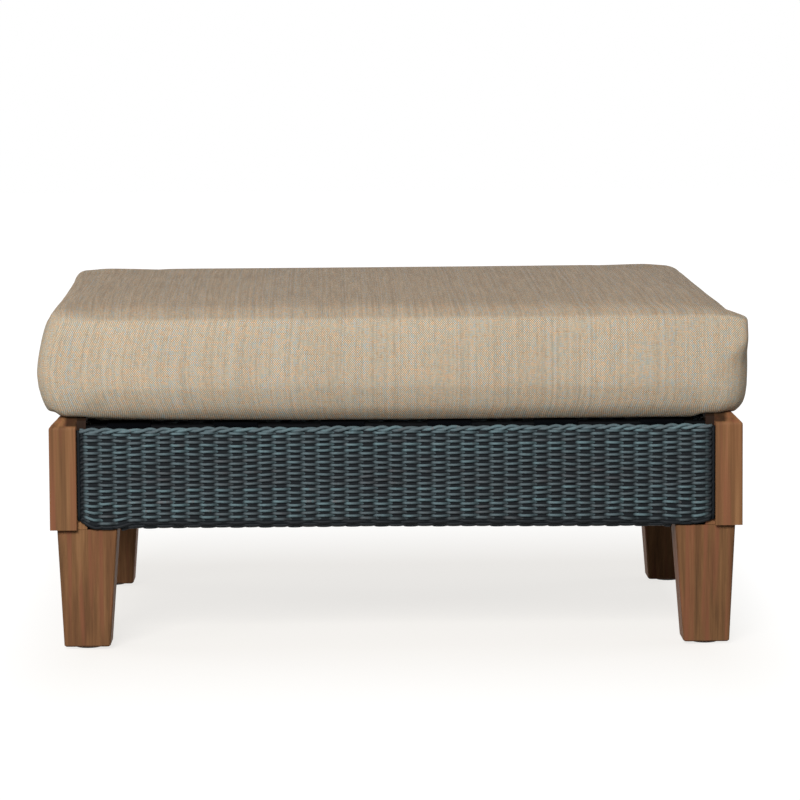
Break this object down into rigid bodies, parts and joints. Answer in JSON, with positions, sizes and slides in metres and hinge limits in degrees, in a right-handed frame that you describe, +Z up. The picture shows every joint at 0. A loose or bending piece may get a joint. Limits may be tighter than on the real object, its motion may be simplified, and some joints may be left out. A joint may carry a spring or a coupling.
{
  "type": "outdoor ottoman footstool",
  "caption": "Outdoor ottoman with tapered wooden legs, corner posts, woven side panels on a tube frame, a webbing deck and a loose zipped cushion.",
  "frame": {"origin": "on the floor under the middle of the ottoman", "axes": "+Z up, +X along the long side, the front faces -Y and the cushion's zip is at +Y"},
  "size_m": [0.814, 0.609, 0.4047],
  "materials": {
    "teak": "satin",
    "weave": "satin",
    "rail": "satin",
    "steel": "satin",
    "strap": "matte",
    "glide": "matte",
    "cover": "matte",
    "core": "matte",
    "zip": "matte"
  },
  "bodies": {
    "frame": {"back_left_bracket": "rail", "back_left_glide": "glide", "back_left_leg": "teak", "back_left_leg_bolt": "steel", "back_left_post": "teak", "back_left_post_screw_high": "steel", "back_left_post_screw_low": "steel", "back_low_rail": "rail", "back_right_bracket": "rail", "back_right_glide": "glide", "back_right_leg": "teak", "back_right_leg_bolt": "steel", "back_right_post": "teak", "back_right_post_screw_high": "steel", "back_right_post_screw_low": "steel", "back_top_rail": "rail", "back_woven_panel": "weave", "cross_strap_1": "strap", "cross_strap_2": "strap", "cross_strap_3": "strap", "cross_strap_4": "strap", "cross_strap_5": "strap", "cross_strap_6": "strap", "front_left_bracket": "rail", "front_left_glide": "glide", "front_left_leg": "teak", "front_left_leg_bolt": "steel", "front_left_post": "teak", "front_left_post_screw_high": "steel", "front_left_post_screw_low": "steel", "front_low_rail": "rail", "front_right_bracket": "rail", "front_right_glide": "glide", "front_right_leg": "teak", "front_right_leg_bolt": "steel", "front_right_post": "teak", "front_right_post_screw_high": "steel", "front_right_post_screw_low": "steel", "front_top_rail": "rail", "front_woven_panel": "weave", "left_low_rail": "rail", "left_top_rail": "rail", "left_woven_panel": "weave", "long_strap_1": "strap", "long_strap_2": "strap", "long_strap_3": "strap", "long_strap_4": "strap", "right_low_rail": "rail", "right_top_rail": "rail", "right_woven_panel": "weave"},
    "cushion": {"cushion_cover": "cover", "cushion_core": "core", "zip_tape": "zip"},
    "zip_slider": {"zip_slider": "steel"},
    "zip_pull": {"zip_pull": "steel"}
  },
  "joints": [
    {"name": "cushion_lift", "type": "slide", "parent": "frame", "child": "cushion", "axis": [0, 0, 1], "range_m": [0, 0.25]},
    {"name": "zip_slide", "type": "slide", "parent": "cushion", "child": "zip_slider", "axis": [1, 0, 0], "range_m": [-0.474, 0]},
    {"name": "zip_pull_swing", "type": "hinge", "parent": "zip_slider", "child": "zip_pull", "pos_m": [0.23715, 0.30235, 0.3084], "axis": [0, 0, 1], "range_deg": [0, 170]}
  ]
}
